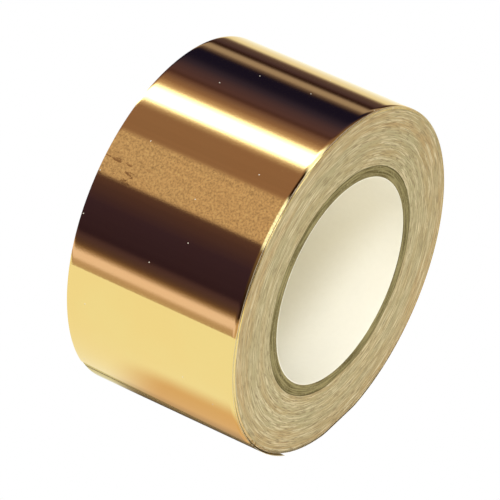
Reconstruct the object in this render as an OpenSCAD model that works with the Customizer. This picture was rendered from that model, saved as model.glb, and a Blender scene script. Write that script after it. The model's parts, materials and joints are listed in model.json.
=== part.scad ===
// Roll of copper foil tape on a paperboard core, standing on its rim.
// Millimetres. The roll's axis is Y, Z is up, and the origin is the centre of the bore.
// Angles round the roll are given in degrees from straight down, turning towards -X.

/* [Tape] */
// Width of the tape, from side to side
tape_width = 50.8; // [12:0.1:100]
// Thickness of the copper foil
foil_t = 0.035; // [0.025:0.005:0.1]
// Thickness of the adhesive film on the foil's inner face
adhesive_t = 0.03; // [0.02:0.005:0.1]
// Thickness of the paper release liner
liner_t = 0.09; // [0.05:0.01:0.15]
// Turns of tape on the core
turns = 101; // [20:1:160]
// Outermost turns that are drawn one by one
loose_turns = 4; // [1:1:8]
// How far the roll settles flat where it stands
settle = 0.5; // [0.2:0.05:0.8]

/* [Core] */
// Bore of the core
bore_d = 55.6; // [25:0.1:80]
// Thickness of the white paper that lines the bore
lining_t = 0.25; // [0.15:0.05:0.5]
// Thickness of one ply of board
ply_t = 0.61; // [0.4:0.01:0.9]
// How far each end of the core sits inside the side of the tape
core_recess = 0.2; // [0:0.05:1]
// Width of one strip of board before it is wound into a tube
ply_strip_w = 100; // [60:1:120]
// Gap left at the butt joint between the edges of a ply
seam_gap = 0.25; // [0.2:0.05:1]
// Where the lining's seam lies halfway along the bore
seam_angle = 135; // [0:1:359]
// How far round from the last ply's seam each ply starts
seam_step = 67; // [50:1:70]

/* [Starter strip] */
// Length round the core of the strip that holds the first turn
starter_len = 19; // [8:1:30]
// Thickness of that strip
starter_t = 0.1; // [0.05:0.01:0.15]
// Where the middle of that strip lies round the core
starter_angle = 200; // [0:1:359]

/* [Tail] */
// Where the loose tail leaves the roll
hinge_angle = 105; // [80:1:130]
// Where the foil starts to peel off the tail's liner
peel_angle = 91; // [70:1:100]
// Where the middle of the foil's cut end lies
foil_end_angle = 59.5; // [50:0.5:75]
// How far the foil's cut end slants away from square
foil_end_slant = 4.6; // [0:0.1:10]
// Where the liner ends, which sticks out past the foil as a tab
liner_end_angle = 31; // [25:0.5:45]
// How much wider than the roll the tail curls
tail_spring = 1; // [0.5:0.1:4]
// Room between the tail and the turn under it, and at the two lines where it bends
tail_gap = 0.1; // [0.05:0.01:0.3]
// Room between the peeled foil and the liner of the tail
peel_gap = 0.05; // [0.02:0.01:0.2]

/* [Hidden] */
NODES = ["bore_lining", "core_ply_1", "core_ply_2", "core_ply_3", "core_ply_4", "core_ply_5",
         "starter_strip", "packed_turns", "outer_liner_turns", "outer_adhesive_turns",
         "outer_foil_turns", "tail_liner", "tail_adhesive_held", "tail_foil_held",
         "tail_adhesive_free", "tail_foil_free"];
$fn = 192;

// The core has a ply for each of its nodes
function starts_with(name, start) = [for (k = [0 : len(start) - 1]) name[k]] == [for (c = start) c];
plies = len([for (name = NODES) if (starts_with(name, "core_ply")) name]);

pitch = foil_t + adhesive_t + liner_t;
bore_r = bore_d / 2;
board_r = bore_r + lining_t;
core_r = board_r + plies * ply_t;
roll_r = core_r + turns * pitch;
core_width = tape_width - 2 * core_recess;

// Depths of the tape's three layers below the outer face of their turn
adhesive_depth = foil_t;
liner_depth = foil_t + adhesive_t;

// Solids that cut others reach past them by this much
past = 1;
reach = 2 * roll_r;

copper = [0.80, 0.53, 0.32];
adhesive_clear = [0.86, 0.82, 0.66];
liner_cream = [0.85, 0.79, 0.62];
packed_tan = [0.76, 0.69, 0.51];
board_olive = [0.50, 0.44, 0.28];
lining_white = [0.95, 0.93, 0.87];

// Plane angle, seen from -Y with X to the right and Z up, of an angle round the roll
function seen(angle) = 270 - angle;

// Stands what is drawn in the plane, and centred along the axis, up in the roll's own frame
module on_roll() rotate([90, 0, 0]) children();

// Turns the plane so that its x runs out through the given angle round the roll
module towards(angle) rotate([0, 0, seen(angle)]) children();

module ring(r_in, r_out, width) difference() {
    cylinder(r = r_out, h = width, center = true);
    cylinder(r = r_in, h = width + 2 * past, center = true);
}

// Everything on one side of a plane through the axis: side 1 is towards +y, -1 towards -y
module half_space(side, start = 0)
    translate([-reach, side > 0 ? start : -reach, -tape_width])
        cube([2 * reach, reach - start, 2 * tape_width]);

// ---- Core ------------------------------------------------------------------

// Axial advance of a strip of board in one turn round the given radius
function ply_lead(r) = 2 * PI * r * tan(asin(ply_strip_w / (2 * PI * r)));

// A board or paper ply: a tube with the open butt seam that its helical strip leaves
module wound_ply(r_in, thickness, seam_at) {
    r_mid = r_in + thickness / 2;
    cut_len = core_width + 2 * past;
    sweep = 360 * cut_len / ply_lead(r_mid);
    on_roll() difference() {
        ring(r_in, r_in + thickness, core_width);
        towards(seam_at)
            linear_extrude(cut_len, center = true, twist = sweep, slices = 16, segments = 4)
                translate([r_mid, 0]) square([3 * thickness, seam_gap], center = true);
    }
}

module bore_lining() color(lining_white) wound_ply(bore_r, lining_t, seam_angle);

// Each ply's seam is stepped on from the one below it, so that no two seams meet
module core_ply(n) color(board_olive * (1 - 0.03 * (n % 2)))
    wound_ply(board_r + (n - 1) * ply_t, ply_t, seam_angle + seam_step * n);

module starter_body(r_in = core_r) {
    span = starter_len / core_r * 180 / PI;
    towards(starter_angle) intersection() {
        ring(r_in, core_r + starter_t, core_width);
        rotate([0, 0, -span / 2]) half_space(1);
        rotate([0, 0, span / 2]) half_space(-1);
    }
}

module starter_strip() color(adhesive_clear) on_roll() starter_body();

// ---- Wound tape ------------------------------------------------------------

// The spiral is drawn as half turns that meet tangent to each other. Half turn 0 starts at the tail
// and lies on side -1 of the hinge plane, and each later one is half a pitch further in.
function half_side(k) = k % 2 == 0 ? -1 : 1;
function half_centre(k) = k % 2 == 0 ? 0 : -pitch / 2;
function half_radius(k) = roll_r - k * pitch / 2;

// A disc on the half turn's centre, sagged flat where the roll stands
module settled_disc(r, centre, width) towards(hinge_angle) translate([centre, 0, 0])
    rotate([0, 0, -seen(hinge_angle)]) intersection() {
        cylinder(r = r, h = width, center = true);
        translate([-reach, settle - r, -width]) cube([2 * reach, 2 * reach, 2 * width]);
    }

module half_turn(k, depth, thickness) intersection() {
    difference() {
        settled_disc(half_radius(k) - depth, half_centre(k), tape_width);
        settled_disc(half_radius(k) - depth - thickness, half_centre(k), tape_width + 2 * past);
    }
    towards(hinge_angle) half_space(half_side(k));
}

module wound_layer(depth, thickness) on_roll()
    for (k = [0 : 2 * loose_turns - 1]) half_turn(k, depth, thickness);

module outer_foil_turns() color(copper) wound_layer(0, foil_t);
module outer_adhesive_turns() color(adhesive_clear) wound_layer(adhesive_depth, adhesive_t);
module outer_liner_turns() color(liner_cream) wound_layer(liner_depth, liner_t);

// All the turns under the loose ones, pressed together, with the step where the last loose one ends
module packed_turns() color(packed_tan) on_roll() difference() {
    for (k = [2 * loose_turns, 2 * loose_turns + 1])
        intersection() {
            settled_disc(half_radius(k), half_centre(k), tape_width);
            towards(hinge_angle) half_space(half_side(k));
        }
    cylinder(r = core_r, h = tape_width + 2 * past, center = true);
    starter_body(core_r - past);
}

// ---- Tail ------------------------------------------------------------------

// The tail leaves the roll tangent to it and curls wider, so it turns about a centre of its own
module about_tail_centre() towards(hinge_angle) translate([-tail_spring, 0, 0]) children();

// One layer of the loose end, from the given angle on, as far as its cut end
module tail_layer(start_angle, lift, depth, thickness, end_angle, end_slant) {
    r = roll_r + tail_gap + tail_spring + lift - depth;
    on_roll() intersection() {
        about_tail_centre() ring(r - thickness, r, tape_width);
        about_tail_centre() rotate([0, 0, hinge_angle - start_angle]) half_space(1, tail_gap);
        towards(end_angle) rotate([-end_slant, 0, 0]) half_space(-1);
    }
}

// The stretch of a layer that stays stuck to the liner, between the hinge and the peel line
module held_layer(depth, thickness) difference() {
    tail_layer(hinge_angle, 0, depth, thickness, foil_end_angle, foil_end_slant);
    on_roll() about_tail_centre() rotate([0, 0, hinge_angle - peel_angle]) half_space(1);
}

// The stretch that has come off the liner
module free_layer(depth, thickness)
    tail_layer(peel_angle, peel_gap, depth, thickness, foil_end_angle, foil_end_slant);

module tail_liner() color(liner_cream)
    tail_layer(hinge_angle, 0, liner_depth, liner_t, liner_end_angle, 0);
module tail_adhesive_held() color(adhesive_clear) held_layer(adhesive_depth, adhesive_t);
module tail_foil_held() color(copper) held_layer(0, foil_t);
module tail_adhesive_free() color(adhesive_clear) free_layer(adhesive_depth, adhesive_t);
module tail_foil_free() color(copper) free_layer(0, foil_t);

bore_lining();
core_ply(1);  // core_ply_1
core_ply(2);  // core_ply_2
core_ply(3);  // core_ply_3
core_ply(4);  // core_ply_4
core_ply(5);  // core_ply_5
starter_strip();
packed_turns();
outer_liner_turns();
outer_adhesive_turns();
outer_foil_turns();
tail_liner();
tail_adhesive_held();
tail_foil_held();
tail_adhesive_free();
tail_foil_free();
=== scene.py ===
# %% [markdown]
# # A roll of copper foil tape
#
# Copper foil tape is a mirror that comes on a spool: a foil 0.035 mm thick, a film of adhesive and
# a paper release liner, wound about a hundred times round a paperboard core. This lesson dresses
# the roll, which is already modelled as exact solids, so that it looks like the real thing.
# The order is camera, studio, finishes, then the pieces: outer turns, tail, winding and core.

# %% Load the frame
import json
import math

import bmesh
import bpy
from mathutils import Matrix, Vector, noise


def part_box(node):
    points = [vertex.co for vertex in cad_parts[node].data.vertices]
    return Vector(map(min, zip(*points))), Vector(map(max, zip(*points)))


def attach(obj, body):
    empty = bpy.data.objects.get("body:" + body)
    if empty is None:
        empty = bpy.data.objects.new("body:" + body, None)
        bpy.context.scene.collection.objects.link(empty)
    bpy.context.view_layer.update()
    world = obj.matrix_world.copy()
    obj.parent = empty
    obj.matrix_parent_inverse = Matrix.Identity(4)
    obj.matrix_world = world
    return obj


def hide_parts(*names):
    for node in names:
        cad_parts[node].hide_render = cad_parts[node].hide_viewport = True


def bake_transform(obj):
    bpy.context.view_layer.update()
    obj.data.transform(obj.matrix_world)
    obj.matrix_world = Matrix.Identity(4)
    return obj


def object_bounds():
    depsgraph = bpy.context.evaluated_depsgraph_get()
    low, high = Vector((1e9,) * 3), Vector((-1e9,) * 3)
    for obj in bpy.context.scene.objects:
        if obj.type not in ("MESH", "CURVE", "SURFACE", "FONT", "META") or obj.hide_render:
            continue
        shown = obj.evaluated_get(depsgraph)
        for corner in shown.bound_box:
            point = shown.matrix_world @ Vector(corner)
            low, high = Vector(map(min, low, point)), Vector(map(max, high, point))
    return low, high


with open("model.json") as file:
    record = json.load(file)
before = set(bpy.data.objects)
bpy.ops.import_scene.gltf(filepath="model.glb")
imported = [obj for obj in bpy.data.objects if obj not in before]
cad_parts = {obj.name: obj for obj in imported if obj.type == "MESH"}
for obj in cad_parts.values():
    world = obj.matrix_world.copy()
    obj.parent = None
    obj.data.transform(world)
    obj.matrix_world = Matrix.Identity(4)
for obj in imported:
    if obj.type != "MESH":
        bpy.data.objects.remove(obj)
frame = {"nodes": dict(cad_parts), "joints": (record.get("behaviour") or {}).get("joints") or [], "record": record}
cad_low, cad_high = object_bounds()
print("CAD box in mm:", [round(1000 * side, 2) for side in cad_high - cad_low])

# %% [markdown]
# ## Sizes
#
# The roll's axis is Y and the origin is the centre of the bore. Every size is read from the frame,
# so the pieces made here fit the solids. Places round the roll are angles from straight down,
# turning towards -X, as one would walk round it from the side that faces the camera.

# %% Sizes read from the frame
MM = 0.001
LOOSE_TURNS = 4
PLIES = 5

roll_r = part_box("outer_foil_turns")[1].z
foil_t = roll_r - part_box("outer_adhesive_turns")[1].z
adhesive_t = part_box("outer_adhesive_turns")[1].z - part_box("outer_liner_turns")[1].z
pitch = (roll_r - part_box("packed_turns")[1].z) / LOOSE_TURNS
half_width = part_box("outer_foil_turns")[1].y
core_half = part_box("core_ply_5")[1].y
core_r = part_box("core_ply_5")[1].z
board_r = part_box("bore_lining")[1].z
bore_r = frame["record"]["mounts"][0]["dims"]["r_mm"] * MM
floor_z = cad_low.z

hinge_point, peel_point = (Vector(joint["pos_m"]) for joint in frame["joints"])
hinge_angle = math.degrees(math.atan2(-hinge_point.x, -hinge_point.z))
TAIL_SPRING = 1.0 * MM
PEEL_ANGLE = 91.0
FOIL_END_ANGLE, FOIL_END_SLANT = 59.5, 4.6
LINER_END_ANGLE = 31.0


def around(radius, angle, across=0.0):
    """The point at an angle round the roll, in metres."""
    turn = math.radians(angle)
    return Vector((-radius * math.sin(turn), across, -radius * math.cos(turn)))


print(f"roll {2000 * roll_r:.1f} mm across, tape {2000 * half_width:.1f} mm wide, "
      f"pitch {1000 * pitch:.3f} mm, hinge at {hinge_angle:.1f} degrees")

# %% [markdown]
# ## Camera
#
# The photograph was taken with a long lens from above the roll's left shoulder. The camera is
# placed from the side that faces it: the centre of that side lies at a known spot in the picture,
# and the side's size in the picture gives the distance.

# %% Camera
PICTURE_PX = 500
FOCAL_PX = 5000.0
SIDE_RADIUS_PX = 186.7
SIDE_CENTRE_PX = (341.3, 281.4)
CAMERA_AZIMUTH, CAMERA_ELEVATION = -54.8, 39.2
SENSOR_MM = 36.0
NEAREST, FARTHEST = 0.01, 20.0

azimuth, elevation = math.radians(CAMERA_AZIMUTH), math.radians(CAMERA_ELEVATION)
right = Vector((math.cos(azimuth), math.sin(azimuth), 0))
back = Vector((math.sin(azimuth) * math.cos(elevation),
               -math.cos(azimuth) * math.cos(elevation), math.sin(elevation)))
up = back.cross(right)
distance = FOCAL_PX * roll_r / SIDE_RADIUS_PX
metres_per_px = distance / FOCAL_PX
side_centre = Vector((0, -half_width, 0))
offset_right = (SIDE_CENTRE_PX[0] - PICTURE_PX / 2) * metres_per_px
offset_up = (PICTURE_PX / 2 - SIDE_CENTRE_PX[1]) * metres_per_px

camera_data = bpy.data.cameras.new("camera")
camera_data.sensor_width = SENSOR_MM
camera_data.lens = FOCAL_PX * SENSOR_MM / PICTURE_PX
camera_data.clip_start, camera_data.clip_end = NEAREST, FARTHEST
camera = bpy.data.objects.new("camera", camera_data)
bpy.context.scene.collection.objects.link(camera)
axes = Matrix((right, up, back)).transposed().to_4x4()
spot = side_centre - offset_right * right - offset_up * up + distance * back
camera.matrix_world = Matrix.Translation(spot) @ axes
bpy.context.scene.camera = camera
print("camera", round(distance, 3), "m from the near side")

# %% [markdown]
# ## Shader maths as Python
#
# A finish is mostly arithmetic on patterns. Wrapping a socket in a small class lets that
# arithmetic be written as expressions, and each operator adds the Math node that does it.


# %% The shader builder
class Value:
    """An output socket on which Python's operators add Math nodes."""

    def __init__(self, tree, socket):
        self.tree, self.socket = tree, socket

    def math(self, operation, *others):
        return self.tree.add("ShaderNodeMath", {"operation": operation},
                             dict(enumerate((self, *others))))

    def __add__(self, other):
        return self.math("ADD", other)

    def __mul__(self, other):
        return self.math("MULTIPLY", other)

    def __sub__(self, other):
        return self.math("SUBTRACT", other)

    def __rsub__(self, other):
        return (self * -1.0) + other

    def __truediv__(self, other):
        return self.math("DIVIDE", other)

    __radd__, __rmul__ = __add__, __mul__

    def between(self, low, high, to_low=0.0, to_high=1.0, kind="SMOOTHSTEP"):
        """This value's stretch from low to high, eased on to the stretch from to_low to to_high."""
        return self.tree.add("ShaderNodeMapRange", {"interpolation_type": kind},
                             {"Value": self, "From Min": low, "From Max": high,
                              "To Min": to_low, "To Max": to_high})

    def patch(self, rise, fall):
        """1 between two slopes, each given in mm from where it is 0 to where it is 1."""
        return (self.between(rise[0] * MM, rise[1] * MM)
                * self.between(fall[0] * MM, fall[1] * MM))


class Tree:
    """A node tree that is filled by add()."""

    def __init__(self, owner):
        owner.use_nodes = True
        self.tree = owner.node_tree
        self.tree.nodes.clear()

    def add(self, kind, settings=None, sockets=None, output=0):
        node = self.tree.nodes.new(kind)
        for name, value in (settings or {}).items():
            if name == "stops":
                self.fill_ramp(node.color_ramp, value)
            else:
                setattr(node, name, value)
        for name, value in (sockets or {}).items():
            target = node.inputs[name]
            if isinstance(value, Value):
                self.tree.links.new(value.socket, target)
            else:
                target.default_value = value
        return Value(self, node.outputs[output]) if node.outputs else None

    @staticmethod
    def fill_ramp(ramp, stops):
        while len(ramp.elements) > 1:
            ramp.elements.remove(ramp.elements[-1])
        ramp.elements[0].position = stops[0][0]
        ramp.elements[0].color = (*stops[0][1], 1.0)
        for position, colour in stops[1:]:
            ramp.elements.new(position).color = (*colour, 1.0)

    def ramp(self, value, stops):
        return self.add("ShaderNodeValToRGB", {"stops": stops}, {"Fac": value})

    def mix(self, share, first, second, blend="MIX"):
        """A colour between two, by share. A Mix node has sockets for every kind of data: 0, 6 and
        7 are the factor and the two colours, and output 2 is the mixed colour."""
        return self.add("ShaderNodeMix", {"data_type": "RGBA", "blend_type": blend},
                        {0: share, 6: first, 7: second}, output=2)

    def vector(self, x, y, z):
        return self.add("ShaderNodeCombineXYZ", sockets={"X": x, "Y": y, "Z": z})

    def split(self, vector):
        """A vector's x, y and z."""
        outputs = self.add("ShaderNodeSeparateXYZ", sockets={0: vector}).socket.node.outputs
        return tuple(Value(self, outputs[axis]) for axis in "XYZ")

    def place(self):
        """Where the shaded point lies, in the object's own coordinates, in metres."""
        return self.add("ShaderNodeTexCoord", output="Object")

    def rays(self):
        """Whether a ray comes from the camera, and whether something glossy mirrors it."""
        outputs = self.add("ShaderNodeLightPath").socket.node.outputs
        return Value(self, outputs["Is Camera Ray"]), Value(self, outputs["Is Glossy Ray"])

    def noise(self, place, scale, detail=2.0, roughness=0.5):
        return self.add("ShaderNodeTexNoise", sockets={
            "Vector": place, "Scale": scale, "Detail": detail, "Roughness": roughness})

    def bump(self, strength, depth, height):
        return self.add("ShaderNodeBump", sockets={
            "Strength": strength, "Distance": depth, "Height": height})

    def finish(self, **sockets):
        """The surface itself. A socket's name is written with _ for its spaces."""
        shader = self.add("ShaderNodeBsdfPrincipled", sockets={
            name.replace("_", " "): value for name, value in sockets.items()})
        self.add("ShaderNodeOutputMaterial", sockets={"Surface": shader})


WHITE, BLACK = (1.0, 1.0, 1.0, 1.0), (0.0, 0.0, 0.0, 1.0)

# %% [markdown]
# ## The studio in the foil
#
# Bright foil has hardly any look of its own: what one sees is the room. On a cylinder each line
# along the barrel mirrors one direction round the axis, so the room that the photograph shows can
# be written down as bands of light round the Y axis: a white table below, a dark room above it,
# a pale card and one long overhead light. A fine weave breaks up all of them but the table's.
# The foil's near edge rolls over, so it mirrors what lies in front of the roll, and that has
# bands of its own. Only glossy rays see any of this. The camera sees a plain white background,
# and paper is lit by an even soft light.


# %% Bands of the room
def band_stops():
    """(Angle round the axis, colour of the room there). Angles run as the angles round the roll."""
    table, table_edge, table_far = (1.0, 1.0, 0.92), (0.50, 0.35, 0.29), (0.93, 0.72, 0.86)
    dark, plum, umber = (0.032, 0.015, 0.036), (0.043, 0.022, 0.055), (0.100, 0.050, 0.060)
    card, copper, lamp = (0.570, 0.405, 0.360), (0.300, 0.170, 0.150), (4.0, 4.2, 4.6)
    night, rail = (0.010, 0.008, 0.038), (0.380, 0.300, 0.310)
    return [
        (0, table), (74.2, table), (76.0, table_edge), (77.8, table_edge), (80.2, table_far),
        (84.4, table_far), (86.4, (0.44, 0.30, 0.26)), (88.4, (0.18, 0.10, 0.075)),
        (90.6, (0.10, 0.055, 0.060)), (94.6, (0.083, 0.045, 0.075)), (98.4, dark),
        (102.0, (0.036, 0.018, 0.043)), (118.0, plum), (134.8, umber), (136.8, card),
        (165.0, card), (167.6, copper), (180.1, copper), (185.5, copper),
        (189.4, (0.62, 0.45, 0.42)), (194.0, lamp), (200.2, lamp), (205.8, (0.66, 0.46, 0.40)),
        (210.6, copper), (214.5, (0.21, 0.12, 0.13)), (216.7, (0.14, 0.072, 0.090)),
        (218.5, (0.068, 0.030, 0.037)), (220.6, (0.098, 0.050, 0.082)),
        (226.6, (0.078, 0.045, 0.090)), (232.7, (0.036, 0.026, 0.075)),
        (238.0, (0.014, 0.011, 0.045)), (241.0, night), (248.6, night),
        (251.0, (0.045, 0.028, 0.042)), (253.6, (0.17, 0.12, 0.14)), (256.4, rail), (259.8, rail),
        (261.6, (0.22, 0.16, 0.17)), (263.4, (0.045, 0.022, 0.022)),
        (265.4, (0.028, 0.012, 0.012)), (267.6, (0.055, 0.028, 0.040)),
        (270.0, (0.076, 0.045, 0.066)), (276.0, (0.11, 0.070, 0.075)),
        (278.6, (0.20, 0.14, 0.13)), (283.6, (0.90, 0.80, 0.59)), (288.0, (0.93, 0.84, 0.64)),
        (304.0, (1.06, 1.06, 0.94))]


def front_stops():
    """The same for what lies in front of the near side, which only the foil's rolled edge sees."""
    table, shade, glow = (1.0, 0.98, 0.86), (0.030, 0.015, 0.012), (1.35, 1.45, 1.75)
    return [
        (0, table), (76.0, table), (80.0, (0.62, 0.42, 0.32)), (86.0, (0.62, 0.42, 0.32)),
        (90.0, shade), (104.0, shade), (132.0, (0.20, 0.13, 0.10)), (136.8, glow), (165.0, glow),
        (167.6, shade), (185.5, shade), (190.0, glow), (204.0, glow), (210.0, (0.30, 0.20, 0.17)),
        (246.0, (0.10, 0.06, 0.06)), (256.0, (0.40, 0.32, 0.30)), (283.0, (0.95, 0.88, 0.68))]


print("studio bands:", len(band_stops()), "round the roll and", len(front_stops()), "in front")

# %% World
SOFT_LIGHT = (0.365, 0.346, 0.275, 1.0)
WEAVE_SCALE, WEAVE_LOW, WEAVE_HIGH = 130.0, 0.90, 1.10
WEAVE_BEGINS, WEAVE_ENDS = (84.0 / 360, 90.0 / 360), (262.0 / 360, 256.0 / 360)
# How far north the direction points where the front bands begin and where they are full
FRONT_BEGINS, FRONT_FULL = 0.24, -0.04

world = bpy.data.worlds.new("studio")
bpy.context.scene.world = world
room = Tree(world)
# In a world, the first output of Texture Coordinate is the direction that is looked in
east, north, height = room.split(room.add("ShaderNodeTexCoord", output=0))
turned = ((east * -1.0).math("ARCTAN2", height * -1.0) / math.tau).math("FRACT")


def painted(stops):
    """The bands as a ramp over the whole turn."""
    return room.ramp(turned, [(angle / 360.0, colour) for angle, colour in stops])


# A ramp holds 32 stops at most, so the low and the high half of the room have one each
low_half, high_half = (painted([stop for stop in band_stops() if (stop[0] > 180) == high])
                       for high in (False, True))
bands = room.mix(turned.math("GREATER_THAN", 0.5), low_half, high_half)
front_bands = painted(front_stops())
weave = room.noise(room.vector(turned * WEAVE_SCALE, 0.0, 0.0), 1.0, 2.0, 0.6)
woven = turned.between(*WEAVE_BEGINS) * turned.between(*WEAVE_ENDS)
bands = room.mix(woven, bands, weave.between(0.25, 0.75, WEAVE_LOW, WEAVE_HIGH, kind="LINEAR"),
                 "MULTIPLY")
bands = room.mix(north.between(FRONT_BEGINS, FRONT_FULL), bands, front_bands)
seen_by_camera, seen_in_gloss = room.rays()
lit = room.mix(seen_in_gloss, SOFT_LIGHT, bands)
shown = room.mix(seen_by_camera, lit, WHITE)
background = room.add("ShaderNodeBackground", sockets={"Color": shown, "Strength": 1.0})
room.add("ShaderNodeOutputWorld", sockets={"Surface": background})
print("world nodes:", len(world.node_tree.nodes))

# %% [markdown]
# ## Lamps
#
# Paper shows its form only by shading, so it has real lamps: a long soft light overhead, as the
# foil mirrors it, a small cool key light that reaches into the bore, and two weak fill lights.
# None of them is mirrored in the foil, which has the painted room for that.


# %% Lamps
def lamp(name, place, size_x, size_y, power, colour):
    """A soft rectangular lamp that looks at the roll and isn't itself mirrored in the foil."""
    data = bpy.data.lights.new(name, "AREA")
    data.shape = "RECTANGLE"
    data.size, data.size_y, data.energy, data.color = size_x, size_y, power, colour
    light = bpy.data.objects.new(name, data)
    bpy.context.scene.collection.objects.link(light)
    aim = (-Vector(place)).to_track_quat("-Z", "Y").to_matrix().to_4x4()
    light.matrix_world = Matrix.Translation(Vector(place)) @ aim
    light.visible_glossy = False


# Name, place in metres, size in metres, power in watts, colour
lamp("overhead", around(0.95, 197.0, 0.05), 0.30, 1.10, 5.0, (1.0, 0.98, 0.94))
lamp("key", (-0.26, -0.36, 0.97), 0.32, 0.32, 6.7, (0.80, 0.86, 1.0))
lamp("left_fill", (-1.05, -0.55, 0.25), 0.5, 0.5, 1.9, (1.0, 0.98, 0.93))
lamp("front_fill", (-0.55, -1.0, 0.35), 0.8, 0.8, 3.0, (1.0, 0.98, 0.95))

# %% [markdown]
# ## The table
#
# The camera sees a table as white as the background. The foil should see a much deeper one: warm
# where only one of the two lights reaches, darker towards the roll, and nearly black where the
# roll touches it. So the table is painted twice, plain for the camera and with its shadow for
# glossy rays. The Light Path node tells the rays apart.

# %% Floor
FLOOR_MIN, FLOOR_MAX = Vector((-0.275, -0.75, 0)), Vector((0.13, 0.75, 0))
bpy.ops.mesh.primitive_plane_add(size=1)
floor = bpy.context.object
floor.name = "floor"
floor.data.transform(Matrix.Translation((FLOOR_MIN + FLOOR_MAX) / 2 + Vector((0, 0, floor_z)))
                     @ Matrix.Diagonal((*(FLOOR_MAX - FLOOR_MIN).xy, 1, 1)))


# The mirrored table's four tones, and the slopes in mm that each shadow has on its two sides:
# along the roll's axis, y, and across it, x. The deep shadow sets in slowly and evenly.
TABLE_LIT, TABLE_WARM = (1.0, 1.0, 0.92, 1.0), (0.78, 0.545, 0.37, 1.0)
TABLE_DEEP, TABLE_CONTACT = (0.19, 0.145, 0.11, 1.0), (0.02, 0.012, 0.006, 1.0)
TABLE_PAPER = (0.92, 0.91, 0.88, 1.0)
WARM_Y, WARM_X = ((32, 12), (-46, -30)), ((-66, -50), (75, 60))
DEEP_Y, CONTACT_X = ((31, 19), (-38, -28)), ((-26, -22), (30, 18))
DEEP_SETS_IN, DEEP_ENDS = (-40 * MM, -27 * MM), (50 * MM, 30 * MM)


def make_table():
    """White paper for the camera. Glossy rays see it lit, with three shadows in each other."""
    material = bpy.data.materials.new("table_paper")
    tree = Tree(material)
    x, y, _ = tree.split(tree.place())
    warm = y.patch(*WARM_Y) * x.patch(*WARM_X)
    along = y.patch(*DEEP_Y)
    deep = along * x.between(*DEEP_SETS_IN, kind="LINEAR") * x.between(*DEEP_ENDS)
    contact = along * x.patch(*CONTACT_X)
    shaded = tree.mix(warm, TABLE_LIT, TABLE_WARM)
    shaded = tree.mix(deep, shaded, TABLE_DEEP)
    shaded = tree.mix(contact, shaded, TABLE_CONTACT)
    reflected = tree.add("ShaderNodeEmission", sockets={"Color": shaded, "Strength": 1.0})
    camera_ray, glossy_ray = tree.rays()
    tint = tree.mix(camera_ray, TABLE_PAPER, BLACK)
    paper = tree.add("ShaderNodeBsdfPrincipled", sockets={
        "Base Color": tint, "Roughness": 0.9, "Specular IOR Level": 0.0})
    glow = tree.add("ShaderNodeEmission", sockets={"Strength": camera_ray})
    seen = tree.add("ShaderNodeAddShader", sockets={0: paper, 1: glow})
    surface = tree.add("ShaderNodeMixShader", sockets={0: glossy_ray, 1: seen, 2: reflected})
    tree.add("ShaderNodeOutputMaterial", sockets={"Surface": surface})
    return material


floor.data.materials.append(make_table())
print("table nodes:", len(floor.data.materials[0].node_tree.nodes))

# %% [markdown]
# ## Coordinates for the finishes
#
# Each finish is a short function. Its patterns must follow the tape round the roll, so they read
# Object coordinates turned into the roll's own: distance from the axis, the way round it and the
# way across the tape. A wound thing always has these three, and they cost a few Math nodes.


# %% Coordinates of the roll
def roll_coordinates(tree):
    """Place, radius, angle in turns and place across, all from Object coordinates in metres."""
    place = tree.place()
    x, y, z = tree.split(place)
    radius = (x * x + z * z).math("SQRT")
    turns = (x * -1.0).math("ARCTAN2", z * -1.0) / math.tau
    return place, radius, turns, y


def on_circle(turns, reach):
    """Two coordinates that close after a turn, so that a noise on them has no seam. Reach is how
    often the noise changes on the way round."""
    swing = turns * math.tau
    return swing.math("COSINE") * reach, swing.math("SINE") * reach


# %% [markdown]
# ## Copper foil
#
# Rolled foil is a mirror with fine lines along its length, where the rolls dragged, and a grain
# too fine to see singly, which softens the edges of what it mirrors. Both are bump. On top lie
# dust and a few short scuffs. A strip of its colour is painted grainy where the foil mirrors the
# pale card: a painted grain in that reflection.
# The near edge rolls over by more than a sheet this thin can show in its mesh, so the rest of
# that lip is bump as well. Its height is in metres, so its slopes are real slopes.

# %% Copper foil
FOIL_COLOUR, FOIL_SHADE = (0.872, 0.680, 0.272, 1.0), (0.878, 0.668, 0.262, 1.0)
SCUFF_COLOUR, DUST_COLOUR = (0.30, 0.17, 0.06, 1.0), (0.75, 0.70, 0.62, 1.0)
SCUFFED_ACROSS, SCUFFED_ALONG = (10 * MM, 15 * MM), ((109.5, 111), (117.5, 114.5))
# Painted reflection grain where the foil mirrors the card: its stretch along the tape in mm, and how dark and
# bright it is painted
CARD_REFLECTION_ALONG = ((110, 111.4), (122.9, 121.9))
REFLECTION_GRAIN_DARKEST, REFLECTION_GRAIN_BRIGHTEST = 0.66, 1.34
# How many times a pattern changes in a metre, along and across the tape where the two differ
LINES_ALONG, LINES_ACROSS = 12.0, 2600.0
STROKES_ALONG, STROKES_ACROSS = 700.0, 210.0
GRAIN_SCALE, REFLECTION_GRAIN_SCALE, PATCH_SCALE = 2400.0, 1700.0, 60.0
# A speck of dust sits in the middle of each cell, and its edge is this soft
DUST_SCALE, DUST_EDGE = 48.0, (0.0095, 0.0045)
SMOOTHEST, ROUGHEST, PATCH_ROUGHNESS = 0.045, 0.070, 0.010
GRAIN_DEPTH, LINES_SHARE, GRAIN_SHARE = 0.0000046, 0.25, 0.75
LIP_ROLL, LIP_FALL = 1.6 * MM, 0.38 * MM


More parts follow.
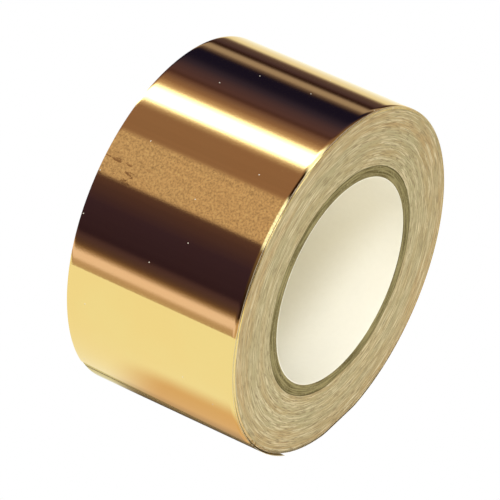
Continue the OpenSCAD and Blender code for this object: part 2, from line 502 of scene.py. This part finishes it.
def make_copper_foil():
    """Bright rolled foil: a mirror with rolling lines, a fine grain, dust, a few scuffs, a strip of
    painted reflection grain where the card is mirrored, and a near edge that rolls over."""
    material = bpy.data.materials.new("copper_foil")
    tree = Tree(material)
    place, _, turns, across = roll_coordinates(tree)
    along = turns * (math.tau * roll_r)
    lines = tree.noise(tree.vector(along * LINES_ALONG, across * LINES_ACROSS, 0.0), 1.0, 3.0, 0.6)
    grain = tree.noise(place, GRAIN_SCALE, 2.0, 0.6)
    patches = tree.noise(place, PATCH_SCALE, 2.0)
    tint = tree.mix(patches.between(0.35, 0.65), FOIL_COLOUR, FOIL_SHADE)
    # Painted reflection grain: the colour is made grainy only where the foil mirrors the card
    reflection_grain = tree.noise(place, REFLECTION_GRAIN_SCALE, 3.0, 0.65)
    reflection_grain = reflection_grain.between(0.30, 0.70, REFLECTION_GRAIN_DARKEST, REFLECTION_GRAIN_BRIGHTEST, "LINEAR")
    in_card_reflection = along.patch(*CARD_REFLECTION_ALONG)
    tint = tree.mix(in_card_reflection, tint, tree.mix(1.0, tint, reflection_grain, "MULTIPLY"))
    strokes = tree.noise(tree.vector(along * STROKES_ALONG, across * STROKES_ACROSS, 0.0),
                         1.0, 3.0, 0.6)
    scuffed = across.between(*SCUFFED_ACROSS) * along.patch(*SCUFFED_ALONG)
    tint = tree.mix(strokes.between(0.57, 0.64) * scuffed * 0.8, tint, SCUFF_COLOUR)
    cells = tree.add("ShaderNodeTexVoronoi", {"voronoi_dimensions": "2D"}, {
        "Vector": tree.vector(along, across, 0.0), "Scale": DUST_SCALE})
    dust = cells.between(*DUST_EDGE)
    tint = tree.mix(dust, tint, DUST_COLOUR)
    rough = (lines.between(0.3, 0.7, SMOOTHEST, ROUGHEST)
             + patches.between(0.4, 0.7, 0.0, PATCH_ROUGHNESS))
    to_edge = (across + half_width).between(0.0, LIP_ROLL, 1.0, 0.0, "LINEAR")
    height = ((lines * LINES_SHARE + grain * GRAIN_SHARE) * GRAIN_DEPTH
              - to_edge * to_edge * LIP_FALL)
    tree.finish(Base_Color=tint, Metallic=1.0 - dust, Roughness=rough,
                Normal=tree.bump(1.0, 1.0, height))
    return material


copper_foil = make_copper_foil()
print("copper foil nodes:", len(copper_foil.node_tree.nodes))

# %% [markdown]
# ## Release liner
#
# The liner is cream paper with a coat that lets the adhesive go. The coat is golden and as glossy
# as the foil, and only on the outer face, so the shader asks which way the surface faces. Just
# past the foil's cut end two dark lines of painted shadow lie on it, slanted as the cut is, where
# the lifted foil end shades it.

# %% Release paper
PAPER_CREAM, PAPER_FIBRE = (0.78, 0.67, 0.45, 1.0), (0.64, 0.53, 0.32, 1.0)
COAT_GOLD, COAT_SHEEN = (0.66, 0.54, 0.22, 1.0), (0.80, 0.74, 0.50, 1.0)
# The painted shadow past the foil's cut end: its dark colour and how fully it covers the liner
CUT_SHADOW_COLOUR, CUT_SHADOW_COVER = (0.16, 0.10, 0.035, 1.0), 0.9
FIBRE_SCALE, FIBRE_DEPTH = 900.0, 0.000006
# The outward face is coated: the cosine between its normal and the way out, bare and coated
BARE, COATED = 0.2, 0.5
PAPER_ROUGHNESS, COAT_ROUGHNESS, CUT_SHADOW_ROUGHNESS = 0.7, 0.05, 0.5
# The two painted shadow lines, in degrees past the cut: each edge from none of it to all of it
CUT_SHADOW_START, FIRST_CUT_SHADOW_END = (-0.2, 0.0), (1.5, 1.0)
SECOND_CUT_SHADOW_START, SECOND_CUT_SHADOW_END = (2.7, 3.1), (4.4, 3.9)


def make_release_paper():
    """The liner: cream paper with a golden release coat, as glossy as the foil, on its outer face.
    Two lines of painted shadow cross it just past the foil's cut end."""
    material = bpy.data.materials.new("release_paper")
    tree = Tree(material)
    place, radius, turns, across = roll_coordinates(tree)
    x, _, z = tree.split(place)
    normal_x, _, normal_z = tree.split(tree.add("ShaderNodeNewGeometry", output="Normal"))
    outward = (x * normal_x + z * normal_z) / radius
    coated = outward.between(BARE, COATED)
    fibres = tree.noise(place, FIBRE_SCALE, 4.0, 0.65)
    paper = tree.mix(fibres.between(0.35, 0.70), PAPER_CREAM, PAPER_FIBRE)
    tint = tree.mix(coated, paper, COAT_GOLD)
    # Degrees past the cut, which slants across the tape
    past_cut = (across * (FOIL_END_SLANT / (2 * half_width)) + FOIL_END_ANGLE) - turns * 360.0
    # Painted shadow: two dark, matt lines just past the foil's cut end, where the lifted end shades it
    second = past_cut.between(*SECOND_CUT_SHADOW_START) * past_cut.between(*SECOND_CUT_SHADOW_END)
    cut_shadow = (past_cut.between(*FIRST_CUT_SHADOW_END) + second) * past_cut.between(*CUT_SHADOW_START)
    tint = tree.mix(cut_shadow * CUT_SHADOW_COVER, tint, CUT_SHADOW_COLOUR)
    tree.finish(Base_Color=tint, Metallic=coated * 0.95 * (1.0 - cut_shadow), Specular_IOR_Level=0.2,
                Specular_Tint=COAT_SHEEN, Normal=tree.bump(0.3, FIBRE_DEPTH, fibres),
                Roughness=coated.between(0.0, 1.0, PAPER_ROUGHNESS, COAT_ROUGHNESS)
                + cut_shadow * CUT_SHADOW_ROUGHNESS)
    return material


release_paper = make_release_paper()
print("release paper nodes:", len(release_paper.node_tree.nodes))

# %% [markdown]
# ## Lining paper and adhesive
#
# Plain paper is two close tints in a fibre pattern, with a cloudier pattern twelve times as large
# under it and a slight tooth. The adhesive is a clear, smooth film with faint streaks along the
# tape. Both show too little to need more.

# %% Lining paper and adhesive
PAPER_WHITE, PAPER_GREY = (0.90, 0.86, 0.73, 1.0), (0.88, 0.84, 0.71, 1.0)
PAPER_GRAIN, CLOUD_SIZE, PAPER_TOOTH = 700.0, 12.0, 0.00003
STREAKS_ROUND, STREAKS_ACROSS = 40.0, 900.0
ADHESIVE_DARK, ADHESIVE_PALE = (0.62, 0.50, 0.32, 1.0), (0.70, 0.58, 0.38, 1.0)


def make_lining_paper():
    material = bpy.data.materials.new("lining_paper")
    tree = Tree(material)
    place = tree.place()
    fibres = tree.noise(place, PAPER_GRAIN, 4.0, 0.65)
    cloud = tree.noise(place, PAPER_GRAIN / CLOUD_SIZE, 2.0)
    tint = tree.mix(fibres.between(0.35, 0.70) * 0.6 + cloud.between(0.3, 0.7) * 0.4,
                    PAPER_WHITE, PAPER_GREY)
    tree.finish(Base_Color=tint, Roughness=0.8, Specular_IOR_Level=0.3,
                Normal=tree.bump(0.4, PAPER_TOOTH, fibres))
    return material


def make_adhesive():
    material = bpy.data.materials.new("adhesive")
    tree = Tree(material)
    _, _, turns, across = roll_coordinates(tree)
    streaks = tree.noise(tree.vector(turns * STREAKS_ROUND, across * STREAKS_ACROSS, 0.0),
                         1.0, 3.0)
    tint = tree.mix(streaks.between(0.3, 0.7), ADHESIVE_DARK, ADHESIVE_PALE)
    tree.finish(Base_Color=tint, Roughness=streaks.between(0.2, 0.8, 0.12, 0.30))
    return material


lining_paper, adhesive = make_lining_paper(), make_adhesive()
print("lining paper and adhesive nodes:",
      [len(material.node_tree.nodes) for material in (lining_paper, adhesive)])

# %% [markdown]
# ## Edges of the winding
#
# The side of the roll is a hundred cut edges. They are nearly level but never alike: some paper
# edges stand pale, some gaps show dark, and no ring goes all the way round. Noise that is
# stretched round the roll and fine across the turns draws such broken rings, in three sizes.

# %% Tape edges
EDGE_TINTS = [(0.0, (0.430, 0.310, 0.135)), (0.35, (0.465, 0.360, 0.175)),
              (0.65, (0.450, 0.378, 0.200)), (1.0, (0.480, 0.375, 0.192))]
EDGE_CLOUD, EDGE_ORANGE = (0.405, 0.352, 0.183, 1.0), (0.50, 0.340, 0.150, 1.0)
EDGE_PALE, EDGE_DEEP = (0.69, 0.59, 0.36, 1.0), (0.245, 0.178, 0.080, 1.0)
EDGE_WORN = (0.80, 0.73, 0.50, 1.0)
ORANGE_BAND = ((40.2, 42.2), (46.1, 45.2))
# How often each kind of ring changes on the way round, and in a metre across the turns
BROAD_RINGS, LINE_RINGS, BROKEN_RINGS = (1.4, 300.0), (4.0, 2900.0), (12.0, 4600.0)
CLOUD_SCALE, SPECK_SCALE, EDGE_DEPTH = 55.0, 1500.0, 0.00007


def make_tape_edges():
    """The side of the winding: a hundred edges of paper and foil, in uneven, broken rings."""
    material = bpy.data.materials.new("tape_edges")
    tree = Tree(material)
    place, radius, turns, _ = roll_coordinates(tree)
    spiral = radius + turns * pitch

    def rings(reach, fineness):
        return tree.noise(tree.vector(*on_circle(turns, reach), spiral * fineness), 1.0, 2.0, 0.6)

    broad, lines, broken = rings(*BROAD_RINGS), rings(*LINE_RINGS), rings(*BROKEN_RINGS)
    clouds = tree.noise(place, CLOUD_SCALE, 3.0, 0.6)
    specks = tree.noise(place, SPECK_SCALE, 2.0, 0.5)
    tint = tree.ramp(broad.between(0.25, 0.75, kind="LINEAR"), EDGE_TINTS)
    tint = tree.mix(clouds.between(0.45, 0.70) * 0.6, tint, EDGE_CLOUD)
    outer = radius.patch(*ORANGE_BAND)
    tint = tree.mix(outer * broad.between(0.70, 0.35, 0.20, 0.75), tint, EDGE_ORANGE)
    tint = tree.mix(lines.between(0.48, 0.64) * 0.85, tint, EDGE_PALE)
    tint = tree.mix(broken.between(0.50, 0.68) * 0.90, tint, EDGE_DEEP)
    tint = tree.mix(specks.between(0.66, 0.78) * 0.6, tint, EDGE_WORN)
    tree.finish(Base_Color=tint, Roughness=0.72, Specular_IOR_Level=0.3,
                Normal=tree.bump(0.8, EDGE_DEPTH, lines + broken * 0.8))
    return material


tape_edges = make_tape_edges()
print("tape edge nodes:", len(tape_edges.node_tree.nodes))

# %% [markdown]
# ## Board
#
# The core is olive-brown board soaked with glue. Its cut end shows the plies as faint rings and a
# coarse fibre, with a line of painted shade at the rim where it meets the first turn.

# %% Paperboard
BOARD_DARK, BOARD_PALE = (0.120, 0.092, 0.030, 1.0), (0.320, 0.268, 0.118, 1.0)
# The second colour here is painted shade, for the line at the rim where the first turn meets it
BOARD_FIBRE, BOARD_RIM_SHADE = (0.46, 0.40, 0.20, 1.0), (0.085, 0.065, 0.020, 1.0)
# How far in from the rim the painted shade begins and where it is full
RIM_SHADE_BEGINS, RIM_SHADE_FULL = 0.45 * MM, 0.05 * MM
PLY_RINGS, BOARD_GRAIN, BOARD_DEPTH = (3.0, 2000.0), 1500.0, 0.0001


def make_board():
    """The core's cut end: olive-brown board whose plies show as faint rings."""
    material = bpy.data.materials.new("paperboard")
    tree = Tree(material)
    place, radius, turns, _ = roll_coordinates(tree)
    reach, fineness = PLY_RINGS
    plies = tree.noise(tree.vector(*on_circle(turns, reach), radius * fineness), 1.0, 3.0, 0.6)
    fibres = tree.noise(place, BOARD_GRAIN, 4.0, 0.7)
    tint = tree.mix(plies.between(0.35, 0.65), BOARD_DARK, BOARD_PALE)
    tint = tree.mix(fibres.between(0.50, 0.75) * 0.6, tint, BOARD_FIBRE)
    # Painted shade: a dark line at the rim, where the board meets the first turn
    rim_shade = radius.between(core_r - RIM_SHADE_BEGINS, core_r - RIM_SHADE_FULL)
    tint = tree.mix(rim_shade * 0.75, tint, BOARD_RIM_SHADE)
    tree.finish(Base_Color=tint, Roughness=0.9, Specular_IOR_Level=0.2,
                Normal=tree.bump(0.7, BOARD_DEPTH, fibres + plies * 0.5))
    return material


paperboard = make_board()
print("finishes:", len(bpy.data.materials))

# %% [markdown]
# ## Working by operators
#
# Pieces are made as by hand: add a primitive, go into edit mode, select by place, and let an
# operator do the shaping. These helpers keep the selection honest between the steps.


# %% Selecting and closing a piece
def only(obj):
    """Deselects everything and makes obj the one active, selected object."""
    if bpy.context.mode != "OBJECT":
        bpy.ops.object.mode_set(mode="OBJECT")
    bpy.ops.object.select_all(action="DESELECT")
    obj.select_set(True)
    bpy.context.view_layer.objects.active = obj


def edit_all(obj):
    only(obj)
    bpy.ops.object.mode_set(mode="EDIT")
    bpy.ops.mesh.select_all(action="SELECT")


def done(obj, material, slot, sharp=35.0):
    """Closes a piece: outward normals, smooth shading with sharp corners, and its material.
    The slot argument is not used.
    """
    edit_all(obj)
    bpy.ops.mesh.normals_make_consistent(inside=False)
    bpy.ops.object.mode_set(mode="OBJECT")
    bpy.ops.object.shade_smooth_by_angle(angle=math.radians(sharp))
    obj.data.materials.clear()
    obj.data.materials.append(material)
    print(f"{obj.name}: {len(obj.data.polygons)} faces")
    return obj


# %% [markdown]
# ## A sheet from its section
#
# Everything on this roll was wound, so every piece starts as the rectangle that a knife would
# lay bare: the sheet's thickness by its width. Its outline is spun round the axis. Points are
# added to the outline first, wherever the finished sheet needs more than its four corners.

# %% Sections and sweeps
out_to_hinge = around(1.0, hinge_angle)


def cross_section(name, corners):
    """A rectangle in the plane of the axis and the hinge: (radius, across) of two corners.
    Only its outline is kept, as the wire that the spins will sweep."""
    (r_in, near), (r_out, far) = corners
    bpy.ops.object.select_all(action="DESELECT")
    bpy.ops.mesh.primitive_plane_add(size=1)
    obj = bpy.context.object
    obj.name = obj.data.name = name
    for vertex in obj.data.vertices:
        radius = r_out if vertex.co.x > 0 else r_in
        across = far if vertex.co.y > 0 else near
        vertex.co = out_to_hinge * radius + Vector((0, across, 0))
    edit_all(obj)
    bpy.ops.mesh.delete(type="ONLY_FACE")
    bpy.ops.object.mode_set(mode="OBJECT")
    return obj


def divide(obj, cuts, lengthwise):
    """Adds points to the two edges of a section that run across the tape, or to the other two."""
    edit_all(obj)
    bpy.ops.mesh.select_mode(type="EDGE")
    bpy.ops.mesh.select_all(action="DESELECT")
    wires = bmesh.from_edit_mesh(obj.data)
    for edge in wires.edges:
        span = abs(edge.verts[0].co.y - edge.verts[1].co.y)
        if (span > half_width) == lengthwise:
            edge.select_set(True)
    bmesh.update_edit_mesh(obj.data)
    bpy.ops.mesh.subdivide(number_cuts=cuts)
    bpy.ops.mesh.select_mode(type="VERT")
    bpy.ops.object.mode_set(mode="OBJECT")


def sweep(obj, arcs):
    """Spins the section through (centre, degrees, steps) arcs, one after the other, and caps it.
    A positive angle goes on round the roll the way its angles count."""
    edit_all(obj)
    for centre, degrees, steps in arcs:
        bpy.ops.mesh.spin(steps=steps, angle=math.radians(-degrees), center=centre,
                          axis=(0, 1, 0))
    bpy.ops.mesh.select_all(action="SELECT")
    bpy.ops.mesh.remove_doubles(threshold=1e-7)
    bpy.ops.mesh.select_non_manifold(extend=False)
    bpy.ops.mesh.fill_holes(sides=0)
    bpy.ops.object.mode_set(mode="OBJECT")


# %% [markdown]
# ## The three layers
#
# Foil, adhesive and liner lie on one another, and each is a little narrower than the one outside
# it, so that no two edges fight for the same spot. The foil's edges roll over where it was slit,
# the near one more than the far one. Its section gets points close to both edges for that.

# %% Layers of the tape
NEAR_DROP, FAR_DROP, LIP_WIDTH = 0.14 * MM, 0.05 * MM, 0.65 * MM
LIP_POINTS = [offset * MM for offset in (0.0, 0.07, 0.16, 0.28, 0.44, 0.65, 1.2)]
LIP_CUTS = 2 * len(LIP_POINTS) - 2
ADHESIVE_INSET, LINER_INSET = 0.25 * MM, 0.05 * MM

liner_depth = foil_t + adhesive_t
liner_t = pitch - liner_depth
# Each layer's depth, thickness, half width, material and material slot
FOIL = (0.0, foil_t, half_width, copper_foil, "copper_foil")
ADHESIVE = (foil_t, adhesive_t, half_width - ADHESIVE_INSET, adhesive, "adhesive")
LINER = (liner_depth, liner_t, half_width - LINER_INSET, release_paper, "release_paper")


def curl_edges(obj, reach):
    """Draws the points of a foil section to its two edges, which roll over a little.
    The last pair stays on the flat, so that the shading of the broad middle isn't tilted."""
    for vertex in obj.data.vertices:
        index = round((vertex.co.y / reach + 1) / 2 * (LIP_CUTS + 1))
        from_edge = LIP_POINTS[min(index, LIP_CUTS + 1 - index)]
        vertex.co.y = math.copysign(reach - from_edge, vertex.co.y)
        drop = NEAR_DROP if vertex.co.y < 0 else FAR_DROP
        vertex.co -= out_to_hinge * (drop * max(0.0, 1 - from_edge / LIP_WIDTH) ** 2)


def layer_section(name, layer):
    """The section of one layer, where it leaves the roll."""
    depth, thickness, reach = layer[:3]
    outer = roll_r - depth
    obj = cross_section(name, ((outer - thickness, -reach), (outer, reach)))
    if layer is FOIL:
        divide(obj, LIP_CUTS, lengthwise=True)
        curl_edges(obj, reach)
    return obj


print(f"foil {1000 * foil_t:.3f}, adhesive {1000 * adhesive_t:.3f}, liner {1000 * liner_t:.3f} mm")

# %% [markdown]
# ## The outer turns
#
# A real tape winds as a spiral. Two half circles whose centres lie half a pitch apart meet
# tangent to each other, so spinning a section through half turns, with the centre stepping to and
# fro, draws the spiral exactly. The foil, the adhesive and the liner each get their own sheet.

# %% Spiral sheets
STEPS_PER_HALF = 90
# Only what lies this near to straight below the axis, as a share of the radius, is pressed flat
FLAT_SHARE = 0.2


def spiral_arcs(turns):
    centres = (Vector((0, 0, 0)), out_to_hinge * (-pitch / 2))
    return [(centres[k % 2], 180.0, STEPS_PER_HALF) for k in range(2 * turns)]


def settle(obj):
    """Presses what lies below the standing flat up on to it, each layer by its own depth."""
    for vertex in obj.data.vertices:
        radius = math.hypot(vertex.co.x, vertex.co.z)
        flat = floor_z + (roll_r - pitch / 2 - radius)
        if vertex.co.z < flat and abs(vertex.co.x) < FLAT_SHARE * roll_r:
            vertex.co.z = flat


def outer_sheet(name, layer):
    obj = layer_section(name, layer)
    sweep(obj, spiral_arcs(LOOSE_TURNS))
    settle(obj)
    return done(obj, *layer[3:])


foil_turns = outer_sheet("foil_turns", FOIL)
adhesive_turns = outer_sheet("adhesive_turns", ADHESIVE)
liner_turns = outer_sheet("liner_turns", LINER)
for sheet, node in ((foil_turns, "outer_foil_turns"), (adhesive_turns, "outer_adhesive_turns"),
                    (liner_turns, "outer_liner_turns")):
    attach(sheet, "roll")
    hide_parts(node)

# %% [markdown]
# ## The tail
#
# The loose end leaves the roll tangent to it and curls a little wider, about a centre of its own.
# Its foil was cut off nearly square, and its liner goes on past that cut as a tab. The tail bends
# in two places: where it leaves the roll, and where its foil peels off the liner, so the foil is
# made in two lengths that meet without a step.

# %% Tail sheets
tail_centre = out_to_hinge * -TAIL_SPRING
PEEL_SWEEP = hinge_angle - PEEL_ANGLE
FREE_LIFT = 0.20 * MM
# A sheet is swept some degrees too far, and its surplus is cut off at its end
FOIL_SURPLUS, LINER_SURPLUS = 8.0, 4.0
FOIL_SWEEP = hinge_angle - FOIL_END_ANGLE + FOIL_SURPLUS
LINER_SWEEP = hinge_angle - LINER_END_ANGLE + LINER_SURPLUS


def onward(angle):
    """Which way the tape runs on towards its cut end, at an angle round the roll."""
    turn = math.radians(angle)
    return Vector((math.cos(turn), 0, -math.sin(turn)))


def cut_end(obj, angle, slant):
    """Cuts a sheet off with the plane of its cut end."""
    slant = math.radians(slant)
    normal = onward(angle) * math.cos(slant) + Vector((0, 1, 0)) * math.sin(slant)
    edit_all(obj)
    bpy.ops.mesh.bisect(plane_co=around(roll_r, angle), plane_no=normal, use_fill=True,
                        clear_outer=True)
    bpy.ops.object.mode_set(mode="OBJECT")


def tail_sheet(name, layer, start, end):
    """A length of one layer of the tail, from start to end in degrees past the hinge."""
    obj = layer_section(name, layer)
    if start:
        turn = Matrix.Rotation(math.radians(-start), 4, "Y")
        obj.data.transform(Matrix.Translation(tail_centre) @ turn
                           @ Matrix.Translation(-tail_centre))
    sweep(obj, [(tail_centre, start - end, round((end - start) * STEPS_PER_HALF / 180))])
    if end == FOIL_SWEEP:
        cut_end(obj, FOIL_END_ANGLE, FOIL_END_SLANT)
    elif end == LINER_SWEEP:
        cut_end(obj, LINER_END_ANGLE, 0.0)
    return done(obj, *layer[3:])


def lift_free_end(obj):
    """Lets the peeled layer rise smoothly off the liner, from the peel line to its cut end."""
    for vertex in obj.data.vertices:
        arm = vertex.co - tail_centre
        angle = math.degrees(math.atan2(-vertex.co.x, -vertex.co.z))
        end = FOIL_END_ANGLE + FOIL_END_SLANT * vertex.co.y / (2 * half_width)
        share = min(1.0, max(0.0, (PEEL_ANGLE - angle) / (PEEL_ANGLE - end)))
        rise = FREE_LIFT * share * share * (3 - 2 * share)
        vertex.co += Vector((arm.x, 0, arm.z)).normalized() * rise


foil_root = tail_sheet("foil_root", FOIL, 0.0, PEEL_SWEEP)
foil_end = tail_sheet("foil_end", FOIL, PEEL_SWEEP, FOIL_SWEEP)
adhesive_root = tail_sheet("adhesive_root", ADHESIVE, 0.0, PEEL_SWEEP)
adhesive_end = tail_sheet("adhesive_end", ADHESIVE, PEEL_SWEEP, FOIL_SWEEP)
liner_end = tail_sheet("liner_end", LINER, 0.0, LINER_SWEEP)

lift_free_end(foil_end)
lift_free_end(adhesive_end)

# %% [markdown]
# ## The tail in place
#
# When the tail is lifted it doesn't break at the hinge: it bends over a few millimetres. Each
# tail sheet here only has its place baked into its mesh, and the solid it stands for is hidden.

# %% Tail sheets in place of the solids
for sheet, node in ((foil_root, "tail_foil_held"), (adhesive_root, "tail_adhesive_held"),
                    (liner_end, "tail_liner")):
    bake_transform(sheet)
    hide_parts(node)
for sheet, node in ((foil_end, "tail_foil_free"), (adhesive_end, "tail_adhesive_free")):
    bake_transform(sheet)
    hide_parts(node)

# %% [markdown]
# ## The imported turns
#
# Inside the loose turns lie about a hundred more, whose edges make the side of the roll. No two
# edges are level: the tape wanders by hundredths of a millimetre as it is wound. A comb-shaped
# section, one tooth for each turn, is spun once round the axis.

# %% Winding
WINDING_STEPS = 180
WINDING_SHARP = 60.0
TOOTH_DEPTH = 0.05 * MM
WANDER = 0.10 * MM
# The mean of the wander, and its slow and its quick part, as shares of it
MEAN, SLOW, QUICK = 0.55, 0.5, 0.45

packed_outer = roll_r - LOOSE_TURNS * pitch
packed_turns = round((packed_outer - core_r) / pitch)


def wander(index, side):
    """How far a turn's edge stands in from the tape's width."""
    slow = noise.noise(Vector((index * 0.13, side * 7.0, 0.5)))
    quick = noise.noise(Vector((index * 0.71, side * 3.0, 4.5)))
    return WANDER * (MEAN + SLOW * slow + QUICK * quick)


def make_winding():
    obj = cross_section("winding", ((core_r, -half_width), (packed_outer, half_width)))
    divide(obj, 2 * packed_turns - 1, lengthwise=False)
    for vertex in obj.data.vertices:
        radius = vertex.co.dot(out_to_hinge)
        place = (radius - core_r) / pitch
        index, tooth = divmod(round(2 * place), 2)
        side = math.copysign(1.0, vertex.co.y)
        groove = TOOTH_DEPTH if tooth == 0 else 0.0
        vertex.co.y -= side * (wander(index, side) + groove)
    sweep(obj, [(Vector((0, 0, 0)), 360.0, WINDING_STEPS)])
    settle(obj)
    return done(obj, tape_edges, "tape_edges", sharp=WINDING_SHARP)


winding = make_winding()
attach(winding, "roll")
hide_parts("packed_turns")

# %% [markdown]
# ## The core
#
# The core is a tube of board plies, left as the solids have it, with a white paper lining inside.
# The lining is spun from a thin section in many fine steps, smooth enough for the soft light that
# falls into the bore.

# %% Core
LINING_CUTS, LINING_STEPS = 10, 240


def make_lining():
    obj = cross_section("lining", ((bore_r, -core_half), (board_r, core_half)))
    divide(obj, LINING_CUTS, lengthwise=True)
    sweep(obj, [(Vector((0, 0, 0)), 360.0, LINING_STEPS)])
    return done(obj, lining_paper, "lining_paper")


lining = make_lining()
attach(lining, "roll")
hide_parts("bore_lining")
kept_solids = {f"core_ply_{number}": paperboard for number in range(1, PLIES + 1)}
kept_solids["starter_strip"] = adhesive
for node, material in kept_solids.items():
    solid = frame["nodes"][node]
    solid.data.materials.clear()
    solid.data.materials.append(material)
print("solids kept as they are:", len(kept_solids))

# %% [markdown]
# ## Finish
#
# The Standard view shows a colour as it was written.

# %% Finish
bpy.context.scene.view_settings.view_transform = "Standard"
only(foil_turns)
